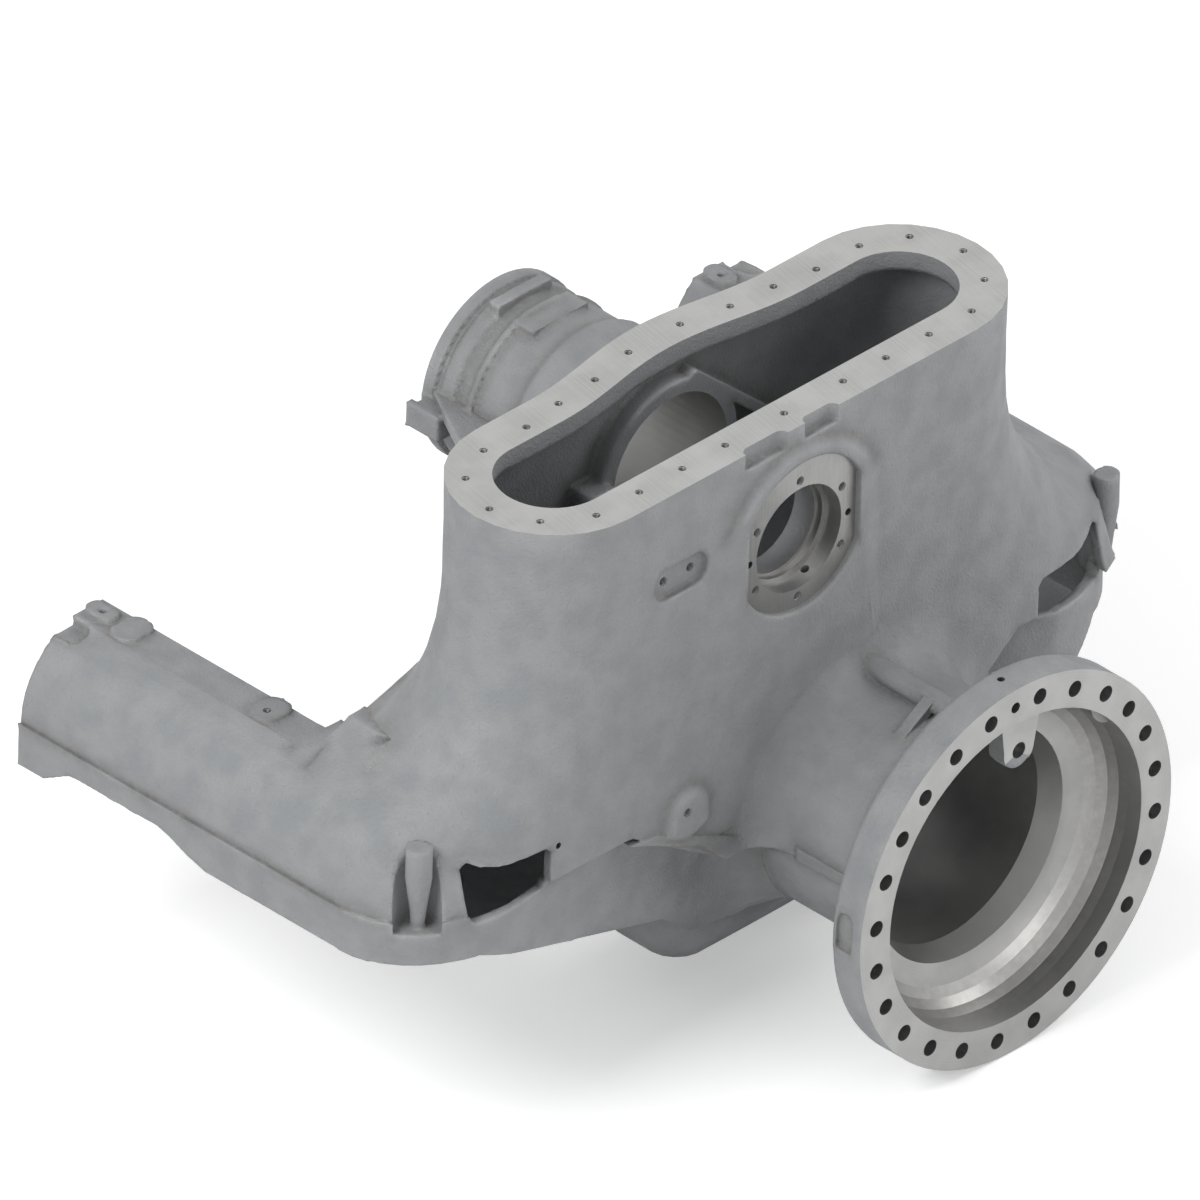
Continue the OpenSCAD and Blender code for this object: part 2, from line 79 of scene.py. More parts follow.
HOLE_MARGIN_MM = 0.4  # how far past its radius a hole's wall is looked for
HALF_WAY = 0.5  # how far one round of smoothing moves a value towards its neighbours' mean
WHITE: Colour = (1.0, 1.0, 1.0, 1.0)


class Surface(Enum):
    """Material slot of a face of the casting."""

    CAST = 0
    TURNED = 1
    BORED = 2
    MILLED = 3
    DRILLED = 4


def in_row(x: float, y: float, z: float) -> Point:
    """A house point in millimetres of the row frame."""
    return (HOUSE_ORIGIN.x + x, HOUSE_ORIGIN.y + y, HOUSE_ORIGIN.z + z)


def put_in_scene(name: str, data: bpy.types.ID) -> bpy.types.Object:
    """Makes an object and links it to the scene.

    Args:
        name: the object's name.
        data: its mesh, lamp or camera.

    Returns:
        The object.
    """
    made = bpy.data.objects.new(name, data)
    bpy.context.scene.collection.objects.link(made)
    return made


def socket(group: bpy.types.NodeTree, name: str, kind: str, way: str, value: object = None) -> None:
    """Adds a socket to a node group's interface.

    Args:
        group: the group that gets the socket.
        name: its name.
        kind: its type, such as Float, after NodeSocket.
        way: INPUT or OUTPUT.
        value: default of an input.
    """
    made = group.interface.new_socket(name=name, in_out=way, socket_type="NodeSocket" + kind)
    if value is not None:
        made.default_value = value


@dataclass
class Nodes:
    """Short hand for building a node tree."""

    tree: bpy.types.NodeTree

    def add(self, kind: str, inputs: dict[str | int, object] | None = None,
            **props: object) -> bpy.types.Node:
        """Adds a node, sets some of its properties and feeds some of its inputs.

        Args:
            kind: the node's type name.
            inputs: sockets or plain values, by the input's name or number.
            props: properties to set on it.

        Returns:
            The node.
        """
        node = self.tree.nodes.new(kind)
        for key, value in props.items():
            setattr(node, key, value)
        self.fill(node, inputs or {})
        return node

    def fill(self, node: bpy.types.Node, inputs: dict[str | int, object]) -> None:
        """Feeds inputs of a node.

        Args:
            node: the node.
            inputs: sockets or plain values, by the input's name or number.
        """
        for at, source in inputs.items():
            if isinstance(source, bpy.types.NodeSocket):
                self.tree.links.new(source, node.inputs[at])
            else:
                node.inputs[at].default_value = source

    def where(self) -> bpy.types.NodeSocket:
        """Place on the piece, in its Object coordinates."""
        return self.add("ShaderNodeTexCoord").outputs["Object"]

    def math(self, what: str, a: object, b: object = 0.0,
             clamp: bool = False) -> bpy.types.NodeSocket:
        """Result of a Math node.

        Args:
            what: the operation.
            a: first value or socket.
            b: second value or socket.
            clamp: keep the result between 0 and 1.

        Returns:
            The result's socket.
        """
        return self.add("ShaderNodeMath", {0: a, 1: b}, operation=what, use_clamp=clamp).outputs[0]

    def noise(self, vector: object, scale: object, detail: float,
              rough: float = 0.5) -> bpy.types.NodeSocket:
        """Value of a 3-D noise texture.

        Args:
            vector: where it is read.
            scale: cells for each metre, as a number or a socket.
            detail: octaves.
            rough: weight of the finer octaves.

        Returns:
            The socket of the noise's value.
        """
        inputs = {"Vector": vector, "Scale": scale, "Detail": detail, "Roughness": rough}
        return self.add("ShaderNodeTexNoise", inputs).outputs["Fac"]

    def band(self, value: object, low: float, high: float, to_low: float = 0.0,
             to_high: float = 1.0) -> bpy.types.NodeSocket:
        """Smoothly maps a value from one range to another.

        Args:
            value: the socket to map.
            low: start of the range read.
            high: end of the range read.
            to_low: result at the start.
            to_high: result at the end.

        Returns:
            The result's socket.
        """
        inputs = dict(enumerate((value, low, high, to_low, to_high)))
        return self.add("ShaderNodeMapRange", inputs, interpolation_type="SMOOTHSTEP").outputs[0]

    def mix(self, factor: object, a: object, b: object) -> bpy.types.NodeSocket:
        """Mixes two colours.

        Args:
            factor: share of the second colour.
            a: first colour.
            b: second colour.

        Returns:
            The mixed colour's socket.
        """
        return self.add("ShaderNodeMix", {0: factor, 6: a, 7: b}, data_type="RGBA").outputs[2]

    def bump(self, height: object, strength: float, distance: float) -> bpy.types.NodeSocket:
        """Turns a height into a normal.

        Args:
            height: the height's socket.
            strength: how strongly it shows.
            distance: metres for a height of 1.

        Returns:
            The normal's socket.
        """
        inputs = {"Height": height, "Strength": strength, "Distance": distance}
        return self.add("ShaderNodeBump", inputs).outputs["Normal"]


def new_material(name: str) -> tuple[bpy.types.Material, Nodes, bpy.types.Node]:
    """Makes a material with nodes.

    Args:
        name: the material's name.

    Returns:
        The material, its tree and its Principled BSDF.
    """
    material = bpy.data.materials.new(name)
    material.use_nodes = True
    return material, Nodes(material.node_tree), material.node_tree.nodes["Principled BSDF"]


@dataclass
class ShaderGroups:
    """Node groups that more than one finish uses, each built once.

    Attributes:
        speckle_scale: cells for each metre of the speckle in the dust and painted shade.
        speckle_least: share of the dust and painted shade that stays between the speckles.
        rub_scale: cells for each metre of the patches where corners are rubbed.
        groove_share: height of an even groove beside the noise of the marks.
    """

    speckle_scale: float = 120.0
    speckle_least: float = 0.6
    rub_scale: float = 14.0
    groove_share: float = 0.35
    ageing_and_shade: bpy.types.NodeTree = field(init=False)
    tool_marks: bpy.types.NodeTree = field(init=False)

    def __post_init__(self) -> None:
        """Builds the groups."""
        self.ageing_and_shade = self._ageing_and_shade()
        self.tool_marks = self._tool_marks()

    def _ageing_and_shade(self) -> bpy.types.NodeTree:
        """Mottle, dust and painted shade in hollows, and wear on corners, from the mesh's own
        attributes.

        Returns:
            A group that puts out three masks.
        """
        group = bpy.data.node_groups.new("casting_ageing_and_shade", "ShaderNodeTree")
        socket(group, "Mottle Scale", "Float", "INPUT", 26.0)
        socket(group, "Dust And Shade", "Float", "INPUT", 1.0)
        socket(group, "Wear", "Float", "INPUT", 1.0)
        for name in ("Mottle", "Dust And Shade Mask", "Wear Mask"):
            socket(group, name, "Float", "OUTPUT")
        n = Nodes(group)
        given = n.add("NodeGroupInput").outputs
        where = n.where()
        hollow = n.add("ShaderNodeAttribute", attribute_name="hollow").outputs["Fac"]
        corner = n.add("ShaderNodeAttribute", attribute_name="corner").outputs["Fac"]
        broad = n.noise(where, given["Mottle Scale"], 5.0)
        speckle = n.band(n.noise(where, self.speckle_scale, 4.0, 0.65), 0.25, 0.65,
                         self.speckle_least, 1.0)
        # Dust and painted shade lie along the hollow corners, broken up by the speckle.
        dust_and_shade = n.math("MULTIPLY", hollow, speckle)
        rub = n.band(n.noise(where, self.rub_scale, 4.0, 0.55), 0.35, 0.75)
        wear = n.math("MULTIPLY", corner, rub)
        n.add("NodeGroupOutput", {
            "Mottle": n.band(broad, 0.3, 0.7),
            "Dust And Shade Mask": n.math("MULTIPLY", dust_and_shade, given["Dust And Shade"], True),
            "Wear Mask": n.math("MULTIPLY", wear, given["Wear"], True),
        })
        return group

    def _tool_marks(self) -> bpy.types.NodeTree:
        """Fine grooves that a lathe or cutter leaves, as a height and a roughness.

        Returns:
            A group that puts out Height and Streak.
        """
        group = bpy.data.node_groups.new("tool_marks", "ShaderNodeTree")
        socket(group, "Along", "Float", "INPUT", 0.0)
        socket(group, "Pitch", "Float", "INPUT", 900.0)
        for name in ("Height", "Streak"):
            socket(group, name, "Float", "OUTPUT")
        n = Nodes(group)
        given = n.add("NodeGroupInput").outputs
        turns = n.math("MULTIPLY", given["Along"], given["Pitch"])
        fine = n.add("ShaderNodeTexNoise", {"W": turns, "Scale": 1.0, "Detail": 2.0},
                     noise_dimensions="1D").outputs["Fac"]
        groove = n.math("SINE", n.math("MULTIPLY", turns, math.tau))
        height = n.math("ADD", n.math("MULTIPLY", groove, self.groove_share), fine)
        n.add("NodeGroupOutput", {"Height": height, "Streak": fine})
        return group


@dataclass(frozen=True)
class CastIron:
    """Shot-blasted and primed casting skin.

    Attributes:
        base: colour of the skin.
        pale: colour of its paler patches.
        dust_and_shade: colour of the dust and painted shade in hollows.
        bare: colour of corners that are rubbed bare.
        bare_metallic: how metallic those corners are.
        bare_polish: how much smoother they are.
        rough: roughness of the skin and of its paler patches.
        sand_scale: cells for each metre of the sand's grain.
        swell_scale: cells for each metre of the slow unevenness.
        swell_share: its height beside the grain.
        pit_scale: cells for each metre of the small pits.
        pit_share: their height beside the grain.
        grain_strength: how strongly the relief shows.
        grain_height: metres for a relief of 1.
    """

    base: Colour = (0.235, 0.245, 0.255, 1.0)
    pale: Colour = (0.275, 0.283, 0.29, 1.0)
    dust_and_shade: Colour = (0.165, 0.16, 0.155, 1.0)
    bare: Colour = (0.36, 0.365, 0.37, 1.0)
    bare_metallic: float = 0.4
    bare_polish: float = 0.16
    rough: tuple[float, float] = (0.62, 0.52)
    sand_scale: float = 300.0
    swell_scale: float = 60.0
    swell_share: float = 0.8
    pit_scale: float = 230.0
    pit_share: float = 0.35
    grain_strength: float = 0.55
    grain_height: float = 0.0022

    def build(self, groups: ShaderGroups) -> bpy.types.Material:
        """Makes the material.

        Args:
            groups: the shared node groups.

        Returns:
            The material.
        """
        material, n, bsdf = new_material("cast_iron_skin")
        where = n.where()
        age = n.add("ShaderNodeGroup", node_tree=groups.ageing_and_shade).outputs
        colour = n.mix(age["Mottle"], self.base, self.pale)
        # Darker in hollow corners: dust and painted shade.
        colour = n.mix(age["Dust And Shade Mask"], colour, self.dust_and_shade)
        colour = n.mix(age["Wear Mask"], colour, self.bare)
        polish = n.math("MULTIPLY", age["Wear Mask"], self.bare_polish)
        swell = n.noise(where, self.swell_scale, 2.0)
        pits = n.band(n.noise(where, self.pit_scale, 1.0), 0.68, 0.78, 1.0, 0.0)
        height = n.math("ADD", n.noise(where, self.sand_scale, 3.0, 0.65),
                        n.math("MULTIPLY", swell, self.swell_share))
        height = n.math("ADD", height, n.math("MULTIPLY", pits, self.pit_share))
        n.fill(bsdf, {
            "Base Color": colour,
            "Metallic": n.math("MULTIPLY", age["Wear Mask"], self.bare_metallic),
            "Roughness": n.math("SUBTRACT", n.band(age["Mottle"], 0.0, 1.0, *self.rough), polish),
            "Normal": n.bump(height, self.grain_strength, self.grain_height),
        })
        return material


@dataclass(frozen=True)
class Machined:
    """Bright machined iron with the cutter's marks.

    Attributes:
        name: the material's name.
        turned_about: Y and Z of a turned face's axis in millimetres, or None for straight marks.
        skew: how far straight marks lean.
        pitch: marks for each metre.
        tint: colour of the clean metal.
        dark: colour of its dull patches.
        grime_and_shade: colour of the dust and painted shade in its hollow corners.
        grime_and_shade_share: how much of the hollows' dust and painted shade it holds.
        mottle_scale: cells for each metre of the dull patches.
        metallic: how metallic it is.
        rough: roughness of the smoothest and the roughest marks.
        mark_strength: how strongly the marks show in relief.
        mark_height: metres for a relief of 1.
    """

    name: str
    turned_about: tuple[float, float] | None = None
    skew: float = 0.18
    pitch: float = 900.0
    tint: Colour = (0.50, 0.50, 0.49, 1.0)
    dark: Colour = (0.38, 0.38, 0.38, 1.0)
    grime_and_shade: Colour = (0.2, 0.19, 0.175, 1.0)
    grime_and_shade_share: float = 0.45
    mottle_scale: float = 22.0
    metallic: float = 0.92
    rough: tuple[float, float] = (0.30, 0.44)
    mark_strength: float = 0.12
    mark_height: float = 0.0004

    def build(self, groups: ShaderGroups) -> bpy.types.Material:
        """Makes the material.

        Args:
            groups: the shared node groups.

        Returns:
            The material.
        """
        material, n, bsdf = new_material(self.name)
        marks = n.add("ShaderNodeGroup", node_tree=groups.tool_marks)
        n.fill(marks, {"Pitch": self.pitch, "Along": self._along(n)})
        age = n.add("ShaderNodeGroup", node_tree=groups.ageing_and_shade)
        n.fill(age, {"Mottle Scale": self.mottle_scale})
        streak = marks.outputs["Streak"]
        dull = n.band(age.outputs["Mottle"], 0.0, 1.0, 0.2, 1.0)
        colour = n.mix(n.math("MULTIPLY", dull, streak, True), self.tint, self.dark)
        # Darker in hollow corners: dust and painted shade.
        grime_and_shade = n.math("MULTIPLY", age.outputs["Dust And Shade Mask"], self.grime_and_shade_share)
        n.fill(bsdf, {
            "Base Color": n.mix(grime_and_shade, colour, self.grime_and_shade),
            "Metallic": self.metallic,
            "Roughness": n.band(streak, 0.2, 0.8, *self.rough),
            "Normal": n.bump(marks.outputs["Height"], self.mark_strength, self.mark_height),
        })
        return material

    def _along(self, n: Nodes) -> bpy.types.NodeSocket:
        """Distance across the marks.

        Args:
            n: the material's tree.

        Returns:
            The socket of the distance in metres.
        """
        x, y, z = n.add("ShaderNodeSeparateXYZ", {0: n.where()}).outputs
        if self.turned_about is None:
            return n.math("ADD", y, n.math("MULTIPLY", x, self.skew))
        squares = [n.math("POWER", n.math("SUBTRACT", place, centre * MM), 2.0)
                   for place, centre in zip((y, z), self.turned_about)]
        return n.math("ADD", n.math("POWER", n.math("ADD", *squares), 0.5), x)


@dataclass(frozen=True)
class Zone:
    """Where a tool has cut the casting: a plane or a bore, in millimetres of the row frame.

    Attributes:
        surface: the finish that the tool leaves.
        low: low corner of the box that its faces lie in.
        high: high corner of that box.
        facing: the way that a plane's faces look.
        axis_yz: Y and Z of a bore's axis.
        radius: least and greatest distance of a bore's faces from its axis.
        slant: how far towards +X a cone has to look to be part of a bore.
    """

    surface: Surface
    low: Point
    high: Point
    facing: Point | None = None
    axis_yz: tuple[float, float] | None = None
    radius: tuple[float, float] = (0.0, 0.0)
    slant: float = STEP

    def mask(self, centres: np.ndarray, normals: np.ndarray) -> np.ndarray:
        """Picks the faces of the zone.

        Args:
            centres: face centres in millimetres.
            normals: face normals.

        Returns:
            One truth value for each face.
        """
        inside = np.all((centres >= self.low) & (centres <= self.high), axis=1)
        if self.facing is not None:
            inside &= normals @ np.array(self.facing) > FACING
        if self.axis_yz is not None:
            apart = centres[:, 1:] - np.array(self.axis_yz)
            reach = np.linalg.norm(apart, axis=1)
            outward = (normals[:, 1:] * apart).sum(axis=1) / np.maximum(reach, 1e-6)
            flat = (np.abs(normals[:, 0]) > STEP) | (normals[:, 0] > self.slant)
            inside &= (reach >= self.radius[0]) & (reach <= self.radius[1])
            inside &= (outward < -INWARD) | flat
        return inside


@dataclass(frozen=True)
class Holes:
    """Drilled holes that share an axis direction and a radius, in millimetres of the row frame.

    Attributes:
        axis: 0, 1 or 2 for X, Y or Z.
        radius: radius of the drilled wall.
        centres: a point on each hole's axis.
        depth: how far from that point the wall reaches.
        surface: the finish that the drill leaves.
    """

    axis: int
    radius: float
    centres: tuple[Point, ...]
    depth: float
    surface: Surface = Surface.DRILLED

    def mask(self, centres: np.ndarray, normals: np.ndarray) -> np.ndarray:
        """Picks the walls of the holes.

        Args:
            centres: face centres in millimetres.
            normals: face normals.

        Returns:
            One truth value for each face.
        """
        across = [i for i in range(3) if i != self.axis]
        found = np.zeros(len(centres), dtype=bool)
        for hole in self.centres:
            reach = np.linalg.norm(centres[:, across] - np.array(hole)[across], axis=1)
            along = np.abs(centres[:, self.axis] - hole[self.axis])
            found |= (reach < self.radius + HOLE_MARGIN_MM) & (along < self.depth)
        return found & (np.abs(normals[:, self.axis]) < HOLE_END)


@dataclass(frozen=True)
class ThreadedRow:
    """Tapped holes that share a size and a direction, in millimetres of the row frame.

    Attributes:
        name: name of the piece that their thread turns make.
        mouths: where the holes open.
        radius: radius of the drilled wall.
        depth: depth of the thread.
        tilt: turn of the holes' axis away from Z, in radians.
    """

    name: str
    mouths: tuple[Point, ...]
    radius: float
    depth: float
    tilt: Point = UPRIGHT


@dataclass(frozen=True)
class HoleMap:
    """Every drilled and tapped hole of the casting, by family.

    Attributes:
        cover_row: Y of the holes along the top flange's front edge, one side of the mid plane.
        cover_row_x: X of those holes.
        cover_rest: X and Y of the flange's other holes, one side of the mid plane.
        boss_circle_r: radius of the circle of holes in the input boss.
        ring_turns: degrees from the top of the ring's bolt holes, one side.
        ring_hole_r: radius of the circle that they lie on.
        ring_clock: degrees by which the whole ring is turned.
    """

    cover_row: tuple[float, ...] = (0, 83.4, 144, 205, 265.5)
    cover_row_x: float = -27.0
    cover_rest: tuple[tuple[float, float], ...] = (
        (-57.7, 314.2), (-108.7, 335.3), (-163.5, 314.1), (-186.4, 265.7), (-186.4, 205),
        (-194, 152), (-199, 95.6), (-210.6, 36.5))
    boss_circle_r: float = 69.5
    ring_turns: tuple[float, ...] = (
        10, 25, 40, 53.75, 67.5, 82.5, 97.5, 112.5, 127.5, 142.5, 157.5, 172.5)
    ring_hole_r: float = 198.5
    ring_clock: float = 1.6

    def cover(self) -> tuple[Point, ...]:
        """Mouths of the top flange's tapped holes."""
        spots = [(self.cover_row_x, y) for y in self.cover_row] + list(self.cover_rest)
        return tuple(in_row(x, s * y, COVER_Z) for x, y in spots for s in ((1, -1) if y else (1,)))

    def boss(self) -> tuple[Point, ...]:
        """Mouths of the input boss's six tapped holes."""
        r, turns = self.boss_circle_r, [math.radians(a) for a in range(30, 360, 60)]
        return tuple(in_row(-2, r * math.cos(a), INPUT_Z + r * math.sin(a)) for a in turns)

    def twin(self) -> tuple[Point, ...]:
        """Mouths of the two tapped holes beside the boss."""
        return (in_row(-8, -187, 281), in_row(-8, -149, 281))

    def lug(self) -> tuple[Point, ...]:
        """Mouth of the tapped hole in the front wall's lug."""
        return (in_row(8, -160, -3),)

    def pads(self) -> tuple[Point, ...]:
        """Mouths of the tapped holes in the arms' near pads."""
        return (in_row(-309, -441, 95), in_row(-309, 441, 95))

    def on_ring(self, x: float, degrees: float) -> Point:
        """A point at a depth and a turn on the ring's circle of holes."""
        a = math.radians(degrees)
        return (x, -self.ring_hole_r * math.sin(a), self.ring_hole_r * math.cos(a))

    def families(self) -> list[Holes]:
        """All the holes that show a drilled wall.

        Returns:
            The families of holes.
        """
        sides = tuple(in_row(-2, s * self.boss_circle_r, INPUT_Z) for s in (-1, 1))
        ring = tuple(self.on_ring(-26.0, self.ring_clock + s * a)
                     for a in self.ring_turns for s in (-1, 1))
        return [
            Holes(2, SMALL_TAP_R, self.cover(), 21.0),
            Holes(0, LARGE_TAP_R, self.boss(), 24.0),
            Holes(0, 4.0, sides, 15.0),
            Holes(0, LARGE_TAP_R, self.twin(), 17.0),
            Holes(0, LARGE_TAP_R, self.lug(), 18.0),
            Holes(0, 3.5, (in_row(-10, -336, 35),), 14.0),
            Holes(2, SMALL_TAP_R, self.pads(), 13.0),
            Holes(0, 9.0, ring, 28.0),
            Holes(0, 6.0, (self.on_ring(-14.0, self.ring_clock),), 15.0),
            Holes(0, 9.0, ((-29.0, 19.6, 126.5),), 12.0),
            Holes(2, 4.0, ((-24.0, -3.0, 214.0),), 8.0),
        ]

    def threaded(self) -> list[ThreadedRow]:
        """All the holes that show thread turns.

        Returns:
            The rows of holes.
        """
        return [
            ThreadedRow("cover_threads", self.cover(), SMALL_TAP_R, 19.0),
            ThreadedRow("boss_threads", self.boss(), LARGE_TAP_R, 22.0, LEVEL),
            ThreadedRow("twin_threads", self.twin(), LARGE_TAP_R, 15.0, LEVEL),
            ThreadedRow("lug_threads", self.lug(), LARGE_TAP_R, 15.0, LEVEL),
            ThreadedRow("pad_threads", self.pads(), SMALL_TAP_R, 11.0),
        ]


def round_input(back: float, front: float, half: float, top: float) -> tuple[Point, Point]:
    """Corners of a box round the axis of the input boss and the drum, in millimetres.

    Args:
        back: X of its rear end in the house frame.
        front: X of its front end in the house frame.
        half: its reach to each side of the axis and below it.
        top: its reach above the axis.

    Returns:
        The low and the high corner in the row frame.
    """
    y, z = INPUT_AXIS
    low = (HOUSE_ORIGIN.x + back, y - half, z - half)
    return low, (HOUSE_ORIGIN.x + front, y + half, z + top)


@dataclass
class HousingCasting:
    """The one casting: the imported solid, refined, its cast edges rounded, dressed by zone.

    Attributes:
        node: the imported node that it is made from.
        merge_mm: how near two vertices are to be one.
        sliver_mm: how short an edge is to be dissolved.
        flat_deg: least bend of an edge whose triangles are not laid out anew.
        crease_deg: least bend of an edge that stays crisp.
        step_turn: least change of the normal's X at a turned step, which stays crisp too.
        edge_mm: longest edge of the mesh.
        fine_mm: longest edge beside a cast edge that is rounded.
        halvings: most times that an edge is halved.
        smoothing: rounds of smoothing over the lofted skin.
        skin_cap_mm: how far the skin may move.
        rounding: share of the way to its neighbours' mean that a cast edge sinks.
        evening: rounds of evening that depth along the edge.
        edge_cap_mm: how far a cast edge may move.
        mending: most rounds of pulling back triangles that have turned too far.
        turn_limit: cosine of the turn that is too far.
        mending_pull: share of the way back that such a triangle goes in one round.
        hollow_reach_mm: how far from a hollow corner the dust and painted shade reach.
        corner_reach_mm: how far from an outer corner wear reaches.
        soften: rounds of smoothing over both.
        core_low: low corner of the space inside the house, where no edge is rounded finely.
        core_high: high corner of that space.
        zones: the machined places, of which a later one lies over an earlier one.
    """

    node: str = "housing"
    merge_mm: float = 0.02
    sliver_mm: float = 0.01
    flat_deg: float = 0.4
    crease_deg: float = 27.0
    step_turn: float = 0.12
    edge_mm: float = 46.0
    fine_mm: float = 6.5
    halvings: int = 7
    smoothing: int = 12
    skin_cap_mm: float = 1.5
    rounding: float = 0.85
    evening: int = 4
    edge_cap_mm: float = 1.3
    mending: int = 14
    turn_limit: float = 0.3
    mending_pull: float = 0.6
    hollow_reach_mm: float = 10.0
    corner_reach_mm: float = 5.0
    soften: int = 2
    core_low: Point = (-396.0, -510.0, -150.0)
    core_high: Point = (-237.0, 330.0, 260.0)
    zones: list[Zone | Holes] = field(init=False)

    def __post_init__(self) -> None:
        """Lists the machined places."""
        far = 900.0
        cover = HOUSE_ORIGIN.z + COVER_Z
        ring = {"axis_yz": (0.0, 0.0)}
        bore = {"axis_yz": INPUT_AXIS}
        self.zones = [
            Zone(Surface.TURNED, (-1, -far, -far), (1, far, far), facing=(1, 0, 0)),
            Zone(Surface.TURNED, (-66, -far, -far), (1, far, far), radius=(120, 181), slant=0.5,
                 **ring),
            Zone(Surface.TURNED, (-300, -far, -far), (-60, far, far), radius=(120, 133), **ring),
            Zone(Surface.MILLED, (-far, -far, cover - 1), (far, far, cover + 1), facing=(0, 0, 1)),
            Zone(Surface.BORED, *round_input(-34, 7.4, 92, 98), radius=(50, 62), **bore),
            Zone(Surface.MILLED, *round_input(-2.6, -1.4, 92, 98), facing=(1, 0, 0)),
            Zone(Surface.BORED, *round_input(-433, -405, 120, 120), radius=(78, 88), **bore),
            Zone(Surface.BORED, *round_input(-433, -431, 120, 120), facing=(-1, 0, 0)),
            Zone(Surface.BORED, *round_input(-433, -180, 120, 120), radius=(78, 82), **bore),
            *HoleMap().families(),
        ]

    def build(self, source: bpy.types.Object,
              materials: dict[Surface, bpy.types.Material]) -> bpy.types.Object:
        """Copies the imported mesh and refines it.

        Args:
            source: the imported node.
            materials: the material of each surface.

        Returns:
            The finished piece.
        """
        work = bmesh.new()
        work.from_mesh(source.data)
        bmesh.ops.remove_doubles(work, verts=work.verts, dist=self.merge_mm * MM)
        bmesh.ops.dissolve_degenerate(work, dist=self.sliver_mm * MM, edges=work.edges)
        work.normal_update()
        flat = math.radians(self.flat_deg)
        inner = [e for e in work.edges if len(e.link_faces) == 2 and e.calc_face_angle(1.0) < flat]
        bmesh.ops.beautify_fill(work, faces=work.faces, edges=inner, use_restrict_tag=False,
                                method="AREA")
        work.normal_update()
        self._paint(work)
        self._mark_creases(work)
        self._split_long(work)
        self._ageing_and_shade_marks(work)
        self._relax(work)
        mesh = bpy.data.meshes.new("casting")
        work.to_mesh(mesh)
        work.free()
        for surface in Surface:
            mesh.materials.append(materials[surface])
        piece = put_in_scene("housing_casting", mesh)
        LOG.info("casting: %d faces", len(mesh.polygons))
        return piece

    def _paint(self, work: bmesh.types.BMesh) -> None:
        """Gives each face the material of its zone.

        Args:
            work: the merged mesh, before it is refined.
        """
        centres = np.array([f.calc_center_median() for f in work.faces]) / MM
        normals = np.array([f.normal for f in work.faces])
        index = np.full(len(centres), Surface.CAST.value)
        for zone in self.zones:
            index[zone.mask(centres, normals)] = zone.surface.value
        for face, value in zip(work.faces, index):
            face.material_index = int(value)

    def _mark_creases(self, work: bmesh.types.BMesh) -> None:
        """Marks the edges that stay crisp.

        Args:
            work: the mesh.
        """
        limit = math.radians(self.crease_deg)
        lathe = (Surface.TURNED.value, Surface.BORED.value)
        for edge in work.edges:
            edge.smooth = len(edge.link_faces) == 2 and edge.calc_face_angle(0.0) < limit
            if edge.smooth and all(f.material_index in lathe for f in edge.link_faces):
                one, other = (f.normal.x for f in edge.link_faces)
                edge.smooth = abs(one - other) < self.step_turn

    def _split_long(self, work: bmesh.types.BMesh) -> None:
        """Halves long edges until the mesh is fine enough for its attributes and roundings.

        Args:
            work: the mesh.
        """
        for limit, beside_rims in ((self.edge_mm * MM, False), (self.fine_mm * MM, True)):
            for _ in range(self.halvings):
                long = [e for e in work.edges if e.calc_length() > limit]
                if beside_rims:
                    rims = {v for e in work.edges if self._is_cast_edge(e)
                            for v in e.verts if not self._in_core(v)}
                    long = [e for e in long if e.verts[0] in rims or e.verts[1] in rims]
                if not long:
                    break
                bmesh.ops.subdivide_edges(work, edges=long, cuts=1, use_grid_fill=False)
                bmesh.ops.triangulate(work, faces=[f for f in work.faces if len(f.verts) > 3])

    def _in_core(self, vertex: bmesh.types.BMVert) -> bool:
        """Says whether a vertex lies deep inside the house, where nothing is rounded finely."""
        sides = zip(vertex.co, self.core_low, self.core_high)
        return all(low < at / MM < high for at, low, high in sides)

    @staticmethod
    def _is_cast_edge(edge: bmesh.types.BMEdge) -> bool:
        """Says whether an edge is a crease between two as-cast faces."""
        cast = Surface.CAST.value
        return not edge.smooth and all(f.material_index == cast for f in edge.link_faces)

    def _ageing_and_shade_marks(self, work: bmesh.types.BMesh) -> None:
        """Stores how near each vertex lies to a hollow or outer corner: the hollows get dust and
        painted shade, the corners wear.

        Args:
            work: the refined mesh, before its edges are rounded.
        """
        inner: list[Vector] = []
        outer: list[Vector] = []
        for edge in work.edges:
            if edge.smooth or len(edge.link_faces) != 2:
                continue
            one, other = (v.co.copy() for v in edge.verts)
            bend = outer if edge.is_convex else inner
            bend += [one, (one + other) / 2, other]
        ends = self._ends(work)
        for name, points, reach in (
            ("hollow", inner, self.hollow_reach_mm),
            ("corner", outer, self.corner_reach_mm),
        ):
            tree = KDTree(len(points))
            for at, point in enumerate(points):
                tree.insert(point, at)
            tree.balance()
            near = np.array([[tree.find(v.co)[2]] for v in work.verts])
            values = np.maximum(0.0, 1.0 - near / (reach * MM))
            for _ in range(self.soften):
                values += HALF_WAY * (self._around(values, ends) - values)
            layer = work.verts.layers.float.new(name)
            for vertex, value in zip(work.verts, values[:, 0]):
                vertex[layer] = float(value)

